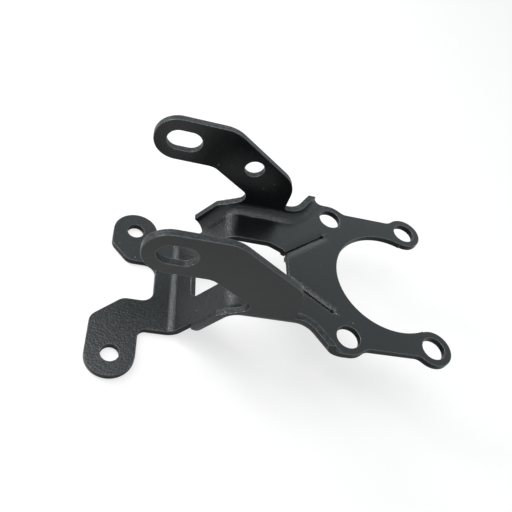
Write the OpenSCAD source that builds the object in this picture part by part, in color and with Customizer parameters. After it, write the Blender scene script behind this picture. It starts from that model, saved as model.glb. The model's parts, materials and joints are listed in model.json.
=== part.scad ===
// Headlight bracket for a motorbike, folded and stamped from one steel sheet.
//
// Axes: +X towards the open end of the fork, +Y to the left, +Z up (the side the arms stand on).
// Origin: middle of the four fork holes, on the upper face of the front plate.
// Lengths along X below are measured from the rear pair of fork holes, negative to the rear.

/* [Sheet] */

// Sheet thickness
sheet_t = 3.2; // [2:0.1:4]
// Inside radius of every fold
bend_r = 4.8; // [4:0.1:5.5]

/* [Front plate] */

// Distance between the rear and front fork holes
hole_pitch_x = 42.2; // [38:0.1:50]
// Distance between the left and right fork holes
hole_pitch_y = 69.2; // [66:0.1:76]
// Diameter of the four fork holes
fork_hole_d = 11; // [6:0.1:12]
// Radius of the rounded lug around each fork hole
lug_r = 8.9; // [8:0.1:10]
// Width over the two prongs between the lugs
prong_span = 79.3; // [77:0.1:84]
// Radius of the round cut-out between the prongs
cutout_r = 28.3; // [25:0.1:28.5]
// Centre of the round cut-out
cutout_x = 27.6; // [26:0.1:32]
// Slope of the edge that leads from a lug to the prong
lug_slope = 36; // [30:1:45]
// Radius where a lug meets the prong
lug_fillet = 5; // [2:0.5:8]

/* [Side flanges] */

// Clear distance between the flanges, and between the arms
inner_gap = 59.5; // [58:0.1:62]
// Straight lip of a flange above its fold
flange_lip = 0.3; // [0.1:0.1:1.5]
// Where the flanges start to flare outwards
flare_x = -25; // [-25.2:0.1:-23]
// Radius of the flare, along the inner face of a flange
flare_r = 12; // [10:0.1:14]

/* [Window] */

// Width of the window between the rails
window_w = 23.6; // [20:0.1:26]
// Front edge of the window
window_front_x = -25.3; // [-27:0.1:-24.5]
// Where the sides of the window turn in towards its front edge
window_turn_x = -33.5; // [-36:0.1:-31]
// Radius of that turn
window_turn_r = 6; // [2:0.5:8]
// Radius of the rear corners
window_corner_r = 4; // [2:0.5:6]
// Rear edge, measured down the flat slope
window_rear_s = 20.4; // [17:0.1:22]

/* [Lanced ribs] */

// Outer end of a rib, lengthwise
rib_end_x = -5.9; // [-8:0.1:-5.5]
// Outer end of a rib, distance from the middle
rib_end_y = 21.8; // [19:0.1:22.5]
// Distance of the rib from the middle at the window
rib_start_y = 8; // [6:0.1:9]
// Width of the rounded edge on the tongue side
tongue_edge_w = 4.6; // [3:0.1:5]
// Depth of the rounded edge on the tongue side
tongue_edge_d = 2.4; // [1.5:0.1:3]
// Width of the rounded edge on the rail side
rail_edge_w = 3; // [2:0.1:3.5]
// Depth of the rounded edge on the rail side
rail_edge_d = 1.2; // [0.8:0.1:1.4]
// Width of the slit between the two edges
slit_w = 0.5; // [0.4:0.1:1.2]
// Diameter of the relief hole at the end of the slit
slit_hole_d = 1.6; // [1.2:0.1:3]

/* [Slope and ears] */

// Steepness of the slope behind the rails, in whole degrees (the exact angles are below)
slope_pitch = 57; // [53, 57]
// Rear end of the flat front plate, where the upper fold starts
upper_x = -48.35; // [-51:0.05:-47.5]
// Length of the flat slope between the two folds
slope_flat = 29.15; // [26:0.05:32]
// Rear end of the flanges, measured down the flat slope
flange_rear_s = 14.4; // [11:0.1:18]
// Bottom of the recess between the ears
recess_x = -81.7; // [-84:0.1:-80]
// Side of the recess on the right
recess_right_y = -9.7; // [-12:0.1:-8]
// Side of the recess on the left
recess_left_y = 12.5; // [10:0.1:14]
// Radius in the corners of the recess
recess_r = 5.5; // [3:0.5:7]
// Radius where an ear meets the neck
ear_fillet = 3.5; // [2:0.5:5]
// Radius of the round end of each ear
ear_r = 10.8; // [9:0.1:11.5]
// Diameter of the ear holes
ear_hole_d = 8; // [6:0.1:9]
// Right ear hole, lengthwise
ear_right_x = -97.9; // [-100:0.1:-96]
// Right ear hole, crosswise
ear_right_y = -38.6; // [-42:0.1:-37]
// Left ear hole, lengthwise
ear_left_x = -93.2; // [-96:0.1:-92]
// Left ear hole, crosswise
ear_left_y = 31.2; // [30.8:0.1:36]
// Angle of the slanted edge of the right ear
ear_right_slant = 41; // [35:1:45]
// Angle of the slanted edge of the left ear
ear_left_slant = 48; // [42:1:52]
// Right ear, where its slanted edge meets the recess, lengthwise
ear_right_turn_x = -95.5; // [-97:0.1:-94]
// Left ear, where its slanted edge meets the recess, lengthwise
ear_left_turn_x = -95.3; // [-97:0.1:-94]
// Radius at the ends of the slanted edges
slant_r = 6; // [3:0.5:7]

/* [Arms] */

// Width of an arm
arm_w = 21.7; // [19:0.1:24]
// Height of the middle of the slots
slot_z = 33.45; // [32:0.05:36]
// Middle of the slots, lengthwise
slot_x = -82; // [-84:0.1:-80]
// Width of a slot
slot_w = 10.5; // [8:0.1:12]
// Length of a slot
slot_len = 15.4; // [13:0.1:18]
// Front edge of the arms
arm_front_x = -26.9; // [-27.5:0.1:-26.6]
// Slope of the middle part of an arm
arm_slope = 33.4; // [30:0.1:36]
// Where the upper edge of an arm starts to slope
arm_knee_x = -61.4; // [-64:0.1:-58]
// Radius of the upper edge at the knee
knee_r = 16; // [8:1:20]
// Radius of the lower edge at the knee
knee_under_r = 8; // [4:1:12]
// Radius of the front shoulder
shoulder_r = 13.6; // [10:0.1:16]
// Radius where the front edge of an arm meets the flange
foot_r = 1.5; // [0.5:0.1:1.7]
// Tip of the deep notch behind the foot of an arm (where its two edges would meet), lengthwise
notch_x = -43.6; // [-45:0.1:-42]
// Tip of the same notch, height
notch_z = 7.5; // [7:0.1:9]
// Radius in the notch
notch_r = 4.1; // [3:0.1:5]
// Rise of the flange between the upper fold and the notch
notch_rise = 27.5; // [22:0.5:32]
// Diameter of the small hole in the left arm
small_hole_d = 9; // [6:0.1:10]
// Small hole, lengthwise
small_hole_x = -48.5; // [-52:0.1:-45]
// Small hole, height
small_hole_z = 26.1; // [24:0.1:28]

/* [Hidden] */

$fn = 96;
arc_step = 6; // degrees between the points of a rounded corner
far = 60; // longer than any piece that it trims
overlap = 0.5; // of areas that cut together
coat_colour = [0.17, 0.18, 0.19];

// right-angled triangles with whole sides set the angles, so that the folds and flats meet exactly
slope_angle = slope_pitch == 53 ? atan2(4, 3) : atan2(527, 336);
flare_angle = atan2(4, 3);

outer_r = bend_r + sheet_t;
flange_h = bend_r + flange_lip;
hole_y = hole_pitch_y / 2;
prong_y = prong_span / 2;
lug_y = hole_y + lug_r;
wall_y = inner_gap / 2;
rail_y = wall_y - bend_r; // where the flat rail ends and the fold starts
window_y = window_w / 2;

// upper fold: the outside of the bend is the upper face; lower fold: the inside of the bend is
lower_x = upper_x - (outer_r + bend_r) * sin(slope_angle) - slope_flat * cos(slope_angle);

// the line where the fold of a flared flange starts
flare_start_r = flare_r + bend_r;
flare_axis = [flare_x, wall_y + flare_r];

rib_angle = atan2(rib_end_y - rib_start_y, rib_end_x - window_front_x);
rib_reach = far / 2; // a rib is drawn into the window and cut off there

arm_end_r = arm_w / 2;
arm_top_z = slot_z + arm_end_r;
arm_low_z = slot_z - arm_end_r;
slot_run = slot_len - slot_w;
arm_end_x = slot_x - slot_run / 2; // centre of the round end

// Points of one corner, rounded with the radius in its third value.
function corner_arc(a, b, c) =
    let (
        u = [a[0] - b[0], a[1] - b[1]] / norm([a[0] - b[0], a[1] - b[1]]),
        v = [c[0] - b[0], c[1] - b[1]] / norm([c[0] - b[0], c[1] - b[1]]),
        half = acos(u * v) / 2,
        middle = (u + v) / norm(u + v),
        centre = [b[0], b[1]] + middle * b[2] / sin(half),
        turn = 180 - 2 * half,
        side = sign(u[0] * v[1] - u[1] * v[0]),
        steps = max(1, ceil(turn / arc_step)),
        aim = atan2(-middle[1], -middle[0])
    )
    b[2] == 0 ? [[b[0], b[1]]] :
    [for (i = [0 : steps]) let (w = aim + side * turn * (0.5 - i / steps)) centre + b[2] * [cos(w), sin(w)]];

// Outline through points [x, y, radius].
function rounded(points) =
    let (n = len(points))
    [for (i = [0 : n - 1]) each corner_arc(points[(i + n - 1) % n], points[i], points[(i + 1) % n])];

module both_sides() {
    children();
    mirror([0, 1, 0]) children();
}

// Frame of the flat slope: it starts at 0 and runs along -X.
module on_slope() {
    translate([upper_x, 0, -outer_r]) rotate([0, -slope_angle, 0]) translate([0, 0, outer_r]) children();
}

// Frame of the ear plate: it starts at 0 and runs along -X.
module on_ear_plate() {
    on_slope() translate([-slope_flat, 0, bend_r]) rotate([0, slope_angle, 0])
        translate([0, 0, -bend_r]) children();
}

// Side view of a point at a distance s down the flat slope and a height h above its upper face.
function slope_point(s, h) = [
    upper_x - (outer_r + h) * sin(slope_angle) - s * cos(slope_angle),
    (outer_r + h) * cos(slope_angle) - outer_r - s * sin(slope_angle)
];

// The upper fold: a section, drawn as [distance from the axis, -y], turned until it meets the flat slope.
module turn_down() {
    intersection() {
        translate([upper_x, 0, -outer_r]) rotate([90, 0, 0]) rotate([0, 0, 90])
            rotate_extrude(angle = 120) children();
        on_slope() translate([0, -far, -far]) cube(2 * far);
    }
}

// The lower fold, in the same way, from the ear plate up to the flat slope.
module turn_level() {
    intersection() {
        on_ear_plate() translate([0, 0, bend_r]) rotate([90, 0, 0]) rotate([0, 0, -90])
            rotate_extrude(angle = 120) children();
        on_slope() translate([-slope_flat - 2 * far, -far, -far]) cube(2 * far);
    }
}

// Frame of the straight end of the flared flange: its fold starts along the X axis.
module beside_flare() {
    translate(flare_axis) rotate(flare_angle) translate([0, -flare_start_r, 0]) children();
}

// Left half of the flat front plate, out to where the flange fold starts.
module half_plate_outline() {
    lug_tangent = lug_r * [sin(lug_slope), cos(lug_slope)];
    set_back = lug_tangent[0] + (hole_y + lug_tangent[1] - prong_y) / tan(lug_slope);
    front_tangent = [hole_pitch_x - lug_tangent[0], hole_y + lug_tangent[1]];
    rear_tangent = [lug_tangent[0], hole_y + lug_tangent[1]];
    difference() {
        polygon(concat(
            [[upper_x, 0], [cutout_x, 0], [hole_pitch_x, hole_y], front_tangent],
            corner_arc(front_tangent, [hole_pitch_x - set_back, prong_y, lug_fillet], [set_back, prong_y]),
            corner_arc([hole_pitch_x - set_back, prong_y], [set_back, prong_y, lug_fillet], rear_tangent),
            [rear_tangent, [0, hole_y], [0, lug_y], [flare_x, lug_y], [flare_x, rail_y], [upper_x, rail_y]]
        ));
        translate(flare_axis) circle(r = flare_start_r);
        beside_flare() square(far);
    }
    translate([0, hole_y]) circle(r = lug_r);
    translate([hole_pitch_x, hole_y]) circle(r = lug_r);
}

module window_outline() {
    polygon(rounded([
        [upper_x - far, window_y, 0],
        [window_turn_x, window_y, window_turn_r],
        [window_front_x, rib_start_y, 0],
        [window_front_x, -rib_start_y, 0],
        [window_turn_x, -window_y, window_turn_r],
        [upper_x - far, -window_y, 0]
    ]));
}

// Area of the plate that a rib takes up, with the rib along +X and its slit on the X axis.
module rib_area() {
    translate([-rib_reach, -tongue_edge_w]) square([rib_reach, tongue_edge_w + rail_edge_w]);
    intersection() {
        circle(r = tongue_edge_w);
        translate([0, -far]) square(far);
    }
    intersection() {
        circle(r = rail_edge_w);
        square(far);
    }
}

module at_rib() {
    translate([rib_end_x, rib_end_y, 0]) rotate(rib_angle) children();
}

module front_plate() {
    translate([0, 0, -sheet_t]) linear_extrude(height = sheet_t) difference() {
        union() {
            half_plate_outline();
            mirror([0, 1]) half_plate_outline();
        }
        translate([cutout_x, 0]) circle(r = cutout_r);
        for (side = [-1, 1]) {
            translate([0, side * hole_y]) circle(d = fork_hole_d);
            translate([hole_pitch_x, side * hole_y]) circle(d = fork_hole_d);
            scale([1, side]) at_rib() rib_area();
        }
        window_outline();
    }
}

// Section of a sheet edge that bends down by depth over width. It leaves the flat sheet at the width.
module drooped_section(width, depth) {
    arc_r = (width * width + depth * depth) / (2 * depth);
    intersection() {
        translate([width, -arc_r]) difference() {
            circle(r = arc_r);
            circle(r = arc_r - sheet_t);
        }
        translate([0, -arc_r]) square([width, arc_r]);
    }
}

// The two bent edges of a rib, along the slit and round its end.
module rib_edges() {
    difference() {
        union() {
            rotate([90, 0, -90]) linear_extrude(height = rib_reach) {
                drooped_section(tongue_edge_w, tongue_edge_d);
                mirror([1, 0]) drooped_section(rail_edge_w, rail_edge_d);
            }
            rotate(-90) rotate_extrude(angle = 90) drooped_section(tongue_edge_w, tongue_edge_d);
            rotate_extrude(angle = 90) drooped_section(rail_edge_w, rail_edge_d);
        }
        translate([-far, -slit_w / 2, -far / 2]) cube([far, slit_w, far]);
        cylinder(d = slit_hole_d, h = far, center = true);
    }
}

module ribs() {
    difference() {
        both_sides() at_rib() rib_edges();
        translate([0, 0, -far / 2]) linear_extrude(height = far) window_outline();
    }
}

// Section of the fold that turns the flat sheet up: the sheet ends at 0 on the X axis.
module fold_section() {
    intersection() {
        translate([0, bend_r]) difference() {
            circle(r = outer_r);
            circle(r = bend_r);
        }
        translate([0, -sheet_t]) square(outer_r);
    }
}

module flange_section() {
    fold_section();
    translate([bend_r, bend_r]) square([sheet_t, flange_lip]);
}

// Flange that flares outwards in front of the arm, on the left.
module flared_flange() {
    intersection() {
        translate(flare_axis) rotate(-90) rotate_extrude(angle = 90)
            translate([flare_start_r, 0]) mirror([1, 0]) flange_section();
        beside_flare() translate([-far, -far, -far]) cube([far, 2 * far, 2 * far]);
    }
    intersection() {
        beside_flare() rotate([90, 0, 90]) linear_extrude(height = far) flange_section();
        translate([-far, 0, -far / 2]) cube([2 * far, lug_y, far]);
    }
}

// Side view of everything that is nearer to the sheet than the top of the flanges.
module flange_zone() {
    centre = [upper_x, -outer_r];
    translate([upper_x, -far]) square([far, far + flange_h]);
    intersection() {
        translate(centre) circle(r = outer_r + flange_h);
        polygon([centre, centre + [0, far], centre + far * [-sin(slope_angle), cos(slope_angle)]]);
    }
    // along the slope, from a little before its start
    polygon([
        slope_point(-overlap, flange_h + 2 * sheet_t), slope_point(far, flange_h + 2 * sheet_t),
        slope_point(far, -far), slope_point(-overlap, -far)
    ]);
}

// Side view of one arm with the flange. It only trims, so its foot reaches below the sheet.
module side_outline() {
    rear_foot = slope_point(flange_rear_s + sheet_t, -sheet_t * 2);
    rear_top = slope_point(flange_rear_s + sheet_t, flange_h + sheet_t);
    // the edge rises to the notch from a point beside the upper fold
    edge_start = slope_point(0, flange_h + sheet_t);
    rise = tan(notch_rise);
    reach = (notch_z - edge_start[1] - rise * (notch_x - edge_start[0]))
        / (rise * cos(slope_angle) - sin(slope_angle));
    slope_top = slope_point(reach, flange_h + sheet_t);
    drop = tan(arm_slope);
    difference() {
        union() {
            polygon(rounded([
                [rear_foot[0], rear_foot[1], 0],
                [rear_top[0], rear_top[1], 0],
                [slope_top[0], slope_top[1], 0],
                [notch_x, notch_z, notch_r],
                [notch_x - (arm_low_z - notch_z) / drop, arm_low_z, knee_under_r],
                [arm_end_x, arm_low_z, 0],
                [arm_end_x, arm_top_z, 0],
                [arm_knee_x, arm_top_z, knee_r],
                [arm_front_x, arm_top_z - drop * (arm_front_x - arm_knee_x), shoulder_r],
                [arm_front_x, flange_h, foot_r],
                [flare_x, flange_h, 0],
                [flare_x, rear_foot[1], 0]
            ]));
            translate([arm_end_x, slot_z]) circle(r = arm_end_r);
        }
        for (end = [-1, 1]) translate([slot_x + end * slot_run / 2, slot_z]) circle(d = slot_w);
        translate([slot_x - slot_run / 2, slot_z - slot_w / 2]) square([slot_run, slot_w]);
    }
}

// Upright part of the arm and flange, on the left.
module side_plate() {
    rotate([90, 0, 0]) translate([0, 0, -wall_y - sheet_t]) linear_extrude(height = sheet_t) difference() {
        side_outline();
        flange_zone();
    }
}

// Fold at the foot of the arm and flange, on the left: along the rail, round the upper fold, down the slope.
module side_fold() {
    intersection() {
        union() {
            translate([upper_x, rail_y, 0]) rotate([90, 0, 90])
                linear_extrude(height = flare_x - upper_x) flange_section();
            turn_down() translate([outer_r, -rail_y]) rotate(-90) flange_section();
            on_slope() translate([-flange_rear_s, rail_y, 0]) rotate([90, 0, 90])
                linear_extrude(height = flange_rear_s) flange_section();
        }
        rotate([90, 0, 0]) translate([0, 0, -far]) linear_extrude(height = far) side_outline();
    }
}

module upper_fold() {
    turn_down() translate([bend_r, -rail_y]) square([sheet_t, rail_y - window_y]);
}

module lower_fold() {
    turn_level() translate([bend_r, -rail_y]) square([sheet_t, 2 * rail_y]);
}

module slope() {
    on_slope() translate([0, 0, -sheet_t]) linear_extrude(height = sheet_t) difference() {
        translate([-slope_flat, -rail_y]) square([slope_flat, 2 * rail_y]);
        polygon(rounded([
            [far, -window_y, 0],
            [-window_rear_s, -window_y, window_corner_r],
            [-window_rear_s, window_y, window_corner_r],
            [far, window_y, 0]
        ]));
    }
}

module ear_plate() {
    right_edge = ear_right_x - ear_r;
    left_edge = ear_left_x - ear_r;
    on_ear_plate() translate([-lower_x, 0, -sheet_t]) linear_extrude(height = sheet_t) difference() {
        union() {
            polygon(rounded([
                [lower_x, -rail_y, 0],
                [lower_x, rail_y, 0],
                [ear_left_x + ear_r, rail_y, ear_fillet],
                [ear_left_x + ear_r, ear_left_y, 0],
                [left_edge, ear_left_y, 0],
                [left_edge, recess_left_y + (ear_left_turn_x - left_edge) * tan(ear_left_slant), slant_r],
                [ear_left_turn_x, recess_left_y, slant_r],
                [recess_x, recess_left_y, recess_r],
                [recess_x, recess_right_y, recess_r],
                [ear_right_turn_x, recess_right_y, slant_r],
                [right_edge, recess_right_y - (ear_right_turn_x - right_edge) * tan(ear_right_slant), slant_r],
                [right_edge, ear_right_y, 0],
                [ear_right_x + ear_r, ear_right_y, 0],
                [ear_right_x + ear_r, -rail_y, ear_fillet]
            ]));
            translate([ear_right_x, ear_right_y]) circle(r = ear_r);
            translate([ear_left_x, ear_left_y]) circle(r = ear_r);
        }
        translate([ear_right_x, ear_right_y]) circle(d = ear_hole_d);
        translate([ear_left_x, ear_left_y]) circle(d = ear_hole_d);
    }
}

module bracket() {
    color(coat_colour) translate([-hole_pitch_x / 2, 0, 0]) {
        front_plate();
        ribs();
        both_sides() {
            flared_flange();
            upper_fold();
        }
        difference() {
            both_sides() {
                side_plate();
                side_fold();
            }
            translate([small_hole_x, wall_y - sheet_t, small_hole_z]) rotate([-90, 0, 0])
                cylinder(d = small_hole_d, h = 3 * sheet_t);
        }
        slope();
        lower_fold();
        ear_plate();
    }
}

bracket();
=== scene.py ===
"""Headlight bracket: a folded steel sheet under a satin black coat, on a pale floor."""

import json
import math

import bmesh
import bpy
from mathutils import Matrix, Quaternion, Vector
from mathutils.bvhtree import BVHTree

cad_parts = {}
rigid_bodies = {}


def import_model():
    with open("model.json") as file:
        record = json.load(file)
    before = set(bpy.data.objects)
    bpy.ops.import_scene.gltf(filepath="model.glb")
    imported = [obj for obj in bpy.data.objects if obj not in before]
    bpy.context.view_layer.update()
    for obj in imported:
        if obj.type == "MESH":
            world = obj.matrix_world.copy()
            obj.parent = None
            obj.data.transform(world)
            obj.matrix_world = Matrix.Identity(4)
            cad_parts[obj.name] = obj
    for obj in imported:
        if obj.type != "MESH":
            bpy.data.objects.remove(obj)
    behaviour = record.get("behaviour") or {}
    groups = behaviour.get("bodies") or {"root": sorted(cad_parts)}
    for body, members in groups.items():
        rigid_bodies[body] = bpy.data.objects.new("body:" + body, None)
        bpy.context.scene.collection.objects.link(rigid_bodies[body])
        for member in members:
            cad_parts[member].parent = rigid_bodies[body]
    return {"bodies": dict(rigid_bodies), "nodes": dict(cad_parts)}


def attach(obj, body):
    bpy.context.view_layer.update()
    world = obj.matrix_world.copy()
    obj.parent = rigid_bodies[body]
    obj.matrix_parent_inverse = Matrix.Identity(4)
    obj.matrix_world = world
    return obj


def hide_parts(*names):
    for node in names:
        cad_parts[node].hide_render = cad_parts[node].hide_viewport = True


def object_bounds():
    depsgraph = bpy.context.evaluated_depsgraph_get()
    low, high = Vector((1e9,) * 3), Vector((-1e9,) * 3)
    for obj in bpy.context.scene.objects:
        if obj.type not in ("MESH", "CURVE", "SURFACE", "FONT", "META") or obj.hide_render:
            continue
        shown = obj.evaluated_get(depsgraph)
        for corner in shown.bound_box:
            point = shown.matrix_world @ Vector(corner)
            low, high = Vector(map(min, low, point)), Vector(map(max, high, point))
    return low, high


# Camera, solved from the rims of the holes: place in metres, angles in degrees
CAMERA_AT = (-0.1297, -0.1632, 0.1934)
CAMERA_AZIMUTH = -22.32
CAMERA_ELEVATION = 47.28
CAMERA_ROLL = -26.41
SENSOR_MM = 36.0
LENS_MM = 40.68

# Sheet: its thickness, and how exactly a face has to lie one thickness above the other side, in metres
SHEET_THICKNESS = 0.0032
SHEET_WITHIN = 0.00012

# Stamped edges: radius in metres, angles in degrees
EDGE_RADIUS = 0.00035
EDGE_SEGMENTS = 3
EDGE_ROUNDNESS = 0.5
EDGE_ANGLE = 40.0
SMOOTH_ANGLE = 32.0
FLAT_WEIGHT = 100

# Cleaning of the solid's mesh: lengths in metres, angle in degrees
WELD_WITHIN = 0.000002
FLAT_WITHIN = 0.3
SHORT_EDGE = 0.00002
STRAY_BEYOND = 0.0003

# Lanced ribs, in metres and degrees: outer end (lengthwise, and from the middle), direction, length,
# the bent edge of the tongue, and how much of its depth is taken away
RIB_END = (-0.0270, 0.0218)
RIB_ANGLE = 35.43
RIB_LENGTH = 0.026
TONGUE_EDGE_WIDTH = 0.0046
TONGUE_EDGE_DEPTH = 0.0024
RIB_EASE = 0.5

# Neck of the ears on the left, in metres: its edge, where the ear starts, the heights between which
# the shift grows, and how far the edge stands out beyond the solid
NECK_EDGE_Y = 0.0249
NECK_FILLET = 0.0035
NECK_END_X = -0.1036
NECK_TOP_Z = -0.020
NECK_FULL_Z = -0.026
NECK_OUT = 0.0012

# Colours of the coat: on the faces of the sheet, on its sheared walls, and on the rounded edges between them; the
# walls and edges carry painted light and shade
FACE, WALL, EDGE = range(3)
COAT_DARK = (0.0018, 0.0025, 0.0028, 1.0)
COAT_PALE = (0.0042, 0.0054, 0.0058, 1.0)
# Walls: the sideways ones are painted shade, the upward ones are painted light, a cloud between two much paler
# colours
WALL_SIDE_SHADE = (0.0030, 0.0036, 0.0038, 1.0)
WALL_LIT_DARK = (0.0080, 0.0100, 0.0105, 1.0)
WALL_LIT_PALE = (0.0520, 0.0580, 0.0600, 1.0)
# Rounded edges: paler than the faces, a painted highlight along every edge
EDGE_HIGHLIGHT_DARK = (0.0120, 0.0135, 0.0140, 1.0)
EDGE_HIGHLIGHT_PALE = (0.0300, 0.0330, 0.0340, 1.0)
SPECK = (0.30, 0.32, 0.32, 1.0)
WHITE = (1.0, 1.0, 1.0, 1.0)
BLACK = (0.0, 0.0, 0.0, 1.0)

# Sheen of the coat
COAT_IOR = 1.5
COAT_ROUGHNESS = 0.22
ROUGHNESS_SPREAD = 0.08
WALL_ROUGHER = 0.10
FACE_SPECULAR = 0.5
WALL_SPECULAR = 0.22
EDGE_SPECULAR = 0.90

# Texture of the coat: cells a metre, detail of the noise, and heights in metres
CLOUD_PER_M = 38.0
CLOUD_DETAIL = 3.0
CLOUD_ROUGHNESS = 0.55
WALL_CLOUD_PER_M = 700.0
SPECK_PER_M = 260.0
PEEL_PER_M = 1200.0
PEEL_DETAIL = 2.5
PEEL_HEIGHT = 0.00034
GRAIN_PER_M = 5200.0
GRAIN_DETAIL = 2.0
GRAIN_HEIGHT = 0.00002

# Where the ramps start and end: clouds, rim of a speck, share of the cells that have one, and walls that face up,
# which go from the dark painted shade of sideways walls to the paler painted light of upward ones
CLOUD_RAMP = (0.30, 0.72)
SPECK_RIM = (0.045, 0.075)
SPECK_SHARE = (0.60, 0.64)
WALL_LIGHT_BY_UPWARD = (0.15, 0.80)

# Share of the peel by how far a face looks up: upright arms, bends and slope, flats
PEEL_BY_UPWARD = ((0.05, 0.05), (0.45, 1.0), (0.93, 1.0), (0.99, 0.44))

# Room: lengths in metres
FLOOR_GAP = 0.0006
FLOOR_SIZE = 4.0
FLOOR_COLOUR = (0.92, 0.92, 0.92, 1.0)
FLOOR_SEEN_COLOUR = (0.40, 0.40, 0.40, 1.0)
FLOOR_GLOW = 0.70
WORLD_COLOUR = (0.90, 0.99, 1.03, 1.0)
WORLD_FILL = 0.10

# Lights: name, place, aim and size in metres, watts, and turn about the light's own axis in degrees
LIGHTS = (
    ("overhead", (-0.40, 0.15, 0.80), (-0.40, 0.15, 0.0), (1.10, 0.62), 7.2, -41.3),
    ("left", (-0.70, 0.42, 0.47), (-0.09, -0.02, -0.02), (0.24, 0.24), 2.4, 0.0),
    ("back", (0.12, 0.85, 0.38), (-0.03, 0.02, 0.0), (0.40, 0.40), 0.6, 0.0),
)


def node_tree(owner):
    """The node tree of a material or a world, emptied."""
    owner.use_nodes = True
    tree = owner.node_tree
    tree.nodes.clear()
    return tree


def add(tree, kind, **values):
    """A node with its properties or inputs set by name."""
    node = tree.nodes.new(kind)
    for name, value in values.items():
        if hasattr(node, name):
            setattr(node, name, value)
        else:
            node.inputs[name.replace("_", " ")].default_value = value
    return node


def feed(tree, socket, value):
    """Links a socket to another one, or gives it a fixed value."""
    if isinstance(value, bpy.types.NodeSocket):
        tree.links.new(value, socket)
    else:
        socket.default_value = value


def noise(tree, where, scale, detail, roughness=0.5):
    """Noise over the object's own coordinates, scale in cells a metre."""
    node = add(tree, "ShaderNodeTexNoise", Scale=scale, Detail=detail, Roughness=roughness)
    tree.links.new(where, node.inputs["Vector"])
    return node.outputs["Fac"]


def ramp(tree, factor, stops):
    """A colour ramp through (position, colour) stops."""
    node = tree.nodes.new("ShaderNodeValToRGB")
    elements = node.color_ramp.elements
    elements[0].position, elements[0].color = stops[0]
    elements[1].position, elements[1].color = stops[-1]
    for position, colour in stops[1:-1]:
        elements.new(position).color = colour
    tree.links.new(factor, node.inputs["Fac"])
    return node.outputs["Color"]


def mix(tree, factor, first, second, blend_type="MIX"):
    """Two colours, or a colour and another one's shade, mixed by a factor."""
    node = add(tree, "ShaderNodeMix", data_type="RGBA", blend_type=blend_type)
    for name, value in (("Factor", factor), ("A", first), ("B", second)):
        feed(tree, node.inputs[name], value)
    return node.outputs["Result"]


def combine(tree, operation, first, second):
    """Two values combined by a Math node."""
    node = add(tree, "ShaderNodeMath", operation=operation)
    tree.links.new(first, node.inputs[0])
    tree.links.new(second, node.inputs[1])
    return node.outputs[0]


def span(tree, value, low, high, start=0.0, end=1.0):
    """A value from start..end mapped to low..high."""
    node = add(tree, "ShaderNodeMapRange", From_Min=start, From_Max=end, To_Min=low, To_Max=high)
    tree.links.new(value, node.inputs["Value"])
    return node.outputs["Result"]


def bump(tree, height, distance, normal=None):
    """A normal bent by a height, on top of another bent normal where there is one."""
    node = add(tree, "ShaderNodeBump", Distance=distance)
    tree.links.new(height, node.inputs["Height"])
    if normal is not None:
        tree.links.new(normal, node.inputs["Normal"])
    return node.outputs["Normal"]


def speckled(tree, where, colour):
    """A colour with a few pale specks."""
    cells = add(tree, "ShaderNodeTexVoronoi", Scale=SPECK_PER_M, Randomness=1.0)
    tree.links.new(where, cells.inputs["Vector"])
    area = ramp(tree, cells.outputs["Distance"], [(SPECK_RIM[0], WHITE), (SPECK_RIM[1], BLACK)])
    chosen = ramp(tree, cells.outputs["Color"], [(SPECK_SHARE[0], BLACK), (SPECK_SHARE[1], WHITE)])
    speck = mix(tree, 1.0, area, chosen, blend_type="MULTIPLY")
    return mix(tree, speck, colour, SPECK)


def peeled(tree, where, upward):
    """The normal of the orange peel, weaker on upright faces and on flats, with a fine grain over it."""
    peel = noise(tree, where, PEEL_PER_M, PEEL_DETAIL)
    share = ramp(tree, upward, [(look, (part, part, part, 1.0)) for look, part in PEEL_BY_UPWARD])
    coarse = bump(tree, combine(tree, "MULTIPLY", peel, share), PEEL_HEIGHT)
    return bump(tree, noise(tree, where, GRAIN_PER_M, GRAIN_DETAIL), GRAIN_HEIGHT, coarse)


def coat_material(name, dark, pale, cloud_per_m, rougher=0.0, specular=FACE_SPECULAR, shaded_side=None):
    """Satin black powder coat, cloudy between dark and pale; where a shaded side colour is given, faces that look
    sideways take it as painted shade and faces that look up keep the paler cloud colour as painted light.
    """
    material = bpy.data.materials.new(name)
    tree = node_tree(material)
    coordinates = tree.nodes.new("ShaderNodeTexCoord")
    where = coordinates.outputs["Object"]
    facing = tree.nodes.new("ShaderNodeSeparateXYZ")
    tree.links.new(coordinates.outputs["Normal"], facing.inputs["Vector"])
    upward = facing.outputs["Z"]

    clouds = noise(tree, where, cloud_per_m, CLOUD_DETAIL, CLOUD_ROUGHNESS)
    colour = speckled(tree, where, ramp(tree, clouds, [(CLOUD_RAMP[0], dark), (CLOUD_RAMP[1], pale)]))
    # Painted light and shade: faces that look up keep the paler colour, faces that look sideways take the dark
    # shade colour
    if shaded_side is not None:
        colour = mix(tree, span(tree, upward, 0.0, 1.0, *WALL_LIGHT_BY_UPWARD), shaded_side, colour)
    middle = COAT_ROUGHNESS + rougher
    roughness = span(tree, clouds, middle - ROUGHNESS_SPREAD / 2, middle + ROUGHNESS_SPREAD / 2)

    shader = tree.nodes.new("ShaderNodeBsdfPrincipled")
    shader.inputs["IOR"].default_value = COAT_IOR
    shader.inputs["Specular IOR Level"].default_value = specular
    tree.links.new(colour, shader.inputs["Base Color"])
    tree.links.new(roughness, shader.inputs["Roughness"])
    tree.links.new(peeled(tree, where, upward), shader.inputs["Normal"])
    out = tree.nodes.new("ShaderNodeOutputMaterial")
    tree.links.new(shader.outputs["BSDF"], out.inputs["Surface"])
    return material


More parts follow.
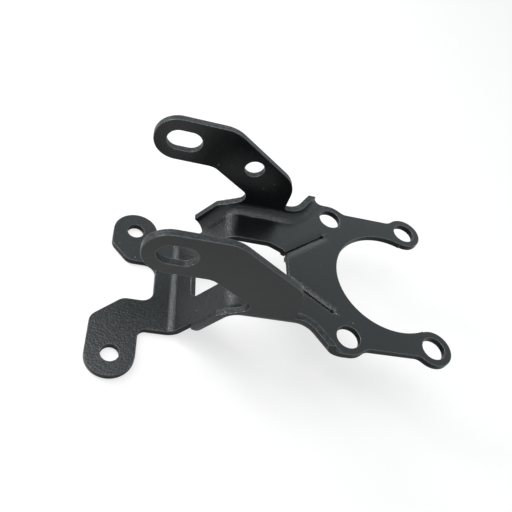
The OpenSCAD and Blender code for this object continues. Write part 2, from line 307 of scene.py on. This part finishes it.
def rib_lift(point):
    """How far a point of the bent tongue edge rises, so that the edge is pressed less deep than in the solid."""
    angle = math.radians(RIB_ANGLE)
    lengthwise, outwards = point.x - RIB_END[0], abs(point.y) - RIB_END[1]
    along = lengthwise * math.cos(angle) + outwards * math.sin(angle)
    across = lengthwise * math.sin(angle) - outwards * math.cos(angle)
    reach = math.hypot(across, max(along, 0.0))
    if across <= 0.0 or along < -RIB_LENGTH or reach >= TONGUE_EDGE_WIDTH:
        return 0.0
    arc = (TONGUE_EDGE_WIDTH ** 2 + TONGUE_EDGE_DEPTH ** 2) / (2 * TONGUE_EDGE_DEPTH)
    return RIB_EASE * (arc - math.sqrt(arc ** 2 - (TONGUE_EDGE_WIDTH - reach) ** 2))


def neck_shift(point):
    """How far a point on the left edge of the neck moves outwards."""
    beyond = point.y - NECK_EDGE_Y
    if beyond < 0.0 or beyond > NECK_FILLET or point.x < NECK_END_X or point.z > NECK_TOP_Z:
        return 0.0
    down = min(1.0, (NECK_TOP_Z - point.z) / (NECK_TOP_Z - NECK_FULL_Z))
    return NECK_OUT * down * (1.0 - beyond / NECK_FILLET)


def is_wall(face, sheet):
    """Whether a face is a sheared wall: straight inwards from it, the sheet isn't one thickness deep."""
    start = face.calc_center_median() - face.normal * SHEET_WITHIN
    _, _, _, depth = sheet.ray_cast(start, -face.normal)
    return depth is None or abs(depth + SHEET_WITHIN - SHEET_THICKNESS) > SHEET_WITHIN


def clean_sheet(node):
    """The solid's mesh with whole faces, marked as faces and walls, and with the ribs and the neck moved."""
    work = bmesh.new()
    work.from_mesh(node.data)
    bmesh.ops.remove_doubles(work, verts=work.verts, dist=WELD_WITHIN)
    sheet = BVHTree.FromBMesh(work)
    for face in work.faces:
        face.material_index = WALL if is_wall(face, sheet) else FACE
    for vertex in work.verts:
        vertex.co.z += rib_lift(vertex.co)
        vertex.co.y += neck_shift(vertex.co)
    bmesh.ops.dissolve_limit(work, angle_limit=math.radians(FLAT_WITHIN), verts=work.verts, edges=work.edges,
                             delimit={"MATERIAL"})
    bmesh.ops.dissolve_degenerate(work, dist=SHORT_EDGE, edges=work.edges)
    return work


def round_edges(work):
    """Rounds the sharp edges, and brings corners that the rounding throws off back to the sheet."""
    sheet = BVHTree.FromBMesh(work)
    sharp = [edge for edge in work.edges if edge.calc_face_angle(0.0) > math.radians(EDGE_ANGLE)]
    rounded = bmesh.ops.bevel(work, geom=sharp, offset=EDGE_RADIUS, offset_type="OFFSET",
                              segments=EDGE_SEGMENTS, profile=EDGE_ROUNDNESS, affect="EDGES",
                              miter_outer="ARC", clamp_overlap=False, loop_slide=True)
    # The rounded edges take the paler edge colour, a painted highlight
    for face in rounded["faces"]:
        face.material_index = EDGE
    for vertex in work.verts:
        nearest, outwards, _, distance = sheet.find_nearest(vertex.co)
        if distance > STRAY_BEYOND or (vertex.co - nearest).dot(outwards) > 0.0:
            vertex.co = nearest


def bracket_skin(node, body, materials):
    """The bracket's own skin, which stands for the solid: rounded edges, smooth folds, and the coat, with painted
    light and shade on the walls and a painted highlight on the edges.
    """
    work = clean_sheet(node)
    round_edges(work)
    mesh = bpy.data.meshes.new("bracket_skin")
    work.to_mesh(mesh)
    work.free()
    for polygon in mesh.polygons:
        polygon.use_smooth = True
    mesh.set_sharp_from_angle(angle=math.radians(SMOOTH_ANGLE))
    for material in materials:
        mesh.materials.append(material)
    skin = bpy.data.objects.new("bracket_skin", mesh)
    bpy.context.scene.collection.objects.link(skin)

    even = skin.modifiers.new("even_flats", "WEIGHTED_NORMAL")
    even.mode = "FACE_AREA"
    even.weight = FLAT_WEIGHT
    even.keep_sharp = True
    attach(skin, body)
    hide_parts("bracket")


def floor_material():
    """White for the camera but for the object's shadow, and pale and matt for all other light."""
    material = bpy.data.materials.new("pale_floor")
    tree = node_tree(material)
    matt = add(tree, "ShaderNodeBsdfDiffuse", Color=FLOOR_COLOUR)
    seen_matt = add(tree, "ShaderNodeBsdfDiffuse", Color=FLOOR_SEEN_COLOUR)
    glow = add(tree, "ShaderNodeEmission", Strength=FLOOR_GLOW)
    seen = tree.nodes.new("ShaderNodeAddShader")
    tree.links.new(seen_matt.outputs["BSDF"], seen.inputs[0])
    tree.links.new(glow.outputs["Emission"], seen.inputs[1])
    path = tree.nodes.new("ShaderNodeLightPath")
    either = tree.nodes.new("ShaderNodeMixShader")
    tree.links.new(path.outputs["Is Camera Ray"], either.inputs["Fac"])
    tree.links.new(matt.outputs["BSDF"], either.inputs[1])
    tree.links.new(seen.outputs["Shader"], either.inputs[2])
    out = tree.nodes.new("ShaderNodeOutputMaterial")
    tree.links.new(either.outputs["Shader"], out.inputs["Surface"])
    return material


def floor_piece(height):
    """A plain pale floor."""
    half = FLOOR_SIZE / 2
    corners = [(-half, -half, height), (half, -half, height), (half, half, height), (-half, half, height)]
    mesh = bpy.data.meshes.new("floor")
    mesh.from_pydata(corners, [], [(0, 1, 2, 3)])
    mesh.materials.append(floor_material())
    floor = bpy.data.objects.new("floor", mesh)
    bpy.context.scene.collection.objects.link(floor)


def world_light():
    """White for the camera, nearly white in reflections, and a softer fill on matt surfaces."""
    world = bpy.data.worlds.new("studio")
    bpy.context.scene.world = world
    tree = node_tree(world)
    path = tree.nodes.new("ShaderNodeLightPath")
    for_camera = path.outputs["Is Camera Ray"]
    seen = combine(tree, "MAXIMUM", for_camera, path.outputs["Is Glossy Ray"])
    seen = combine(tree, "MAXIMUM", seen, path.outputs["Is Transmission Ray"])
    background = tree.nodes.new("ShaderNodeBackground")
    tree.links.new(mix(tree, for_camera, WORLD_COLOUR, WHITE), background.inputs["Color"])
    tree.links.new(span(tree, seen, WORLD_FILL, 1.0), background.inputs["Strength"])
    out = tree.nodes.new("ShaderNodeOutputWorld")
    tree.links.new(background.outputs["Background"], out.inputs["Surface"])


def area_light(name, place, aim, size, watts, turn):
    """A soft light at place, turned towards aim, and by a number of degrees about its own axis."""
    light = bpy.data.lights.new(name, "AREA")
    light.shape = "RECTANGLE"
    light.size, light.size_y = size
    light.energy = watts
    lamp = bpy.data.objects.new(name, light)
    lamp.location = place
    aimed = (Vector(aim) - Vector(place)).to_track_quat("-Z", "Y")
    lamp.rotation_euler = (aimed @ Quaternion((0.0, 0.0, 1.0), math.radians(turn))).to_euler()
    bpy.context.scene.collection.objects.link(lamp)


def camera():
    """The photograph's camera."""
    azimuth, elevation, roll = (math.radians(angle) for angle in (CAMERA_AZIMUTH, CAMERA_ELEVATION, CAMERA_ROLL))
    forward = Vector((-math.sin(azimuth) * math.cos(elevation), math.cos(azimuth) * math.cos(elevation),
                      -math.sin(elevation)))
    level = Vector((math.cos(azimuth), math.sin(azimuth), 0.0))
    down = -level.cross(forward)
    right = math.cos(roll) * level + math.sin(roll) * down
    up = math.sin(roll) * level - math.cos(roll) * down
    data = bpy.data.cameras.new("photo_camera")
    data.sensor_width = SENSOR_MM
    data.lens = LENS_MM
    eye = bpy.data.objects.new("photo_camera", data)
    turn = Matrix((right, up, -forward)).transposed().to_4x4()
    eye.matrix_world = Matrix.Translation(CAMERA_AT) @ turn
    bpy.context.scene.collection.objects.link(eye)
    bpy.context.scene.camera = eye


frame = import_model()
cad_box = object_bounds()

# Coat on the faces; on the walls and edges it also carries painted light, shade and highlight
coat_and_painted_light = [
    coat_material("coat_on_faces", COAT_DARK, COAT_PALE, CLOUD_PER_M),
    coat_material("coat_and_painted_shade_on_walls", WALL_LIT_DARK, WALL_LIT_PALE, WALL_CLOUD_PER_M, WALL_ROUGHER, WALL_SPECULAR, WALL_SIDE_SHADE),
    coat_material("coat_and_painted_highlight_on_edges", EDGE_HIGHLIGHT_DARK, EDGE_HIGHLIGHT_PALE, WALL_CLOUD_PER_M, specular=EDGE_SPECULAR),
]
bracket_skin(frame["nodes"]["bracket"], next(iter(frame["bodies"])), coat_and_painted_light)
floor_piece(cad_box[0][2] - FLOOR_GAP)
world_light()
for light in LIGHTS:
    area_light(*light)
camera()
bpy.context.scene.view_settings.view_transform = "Standard"
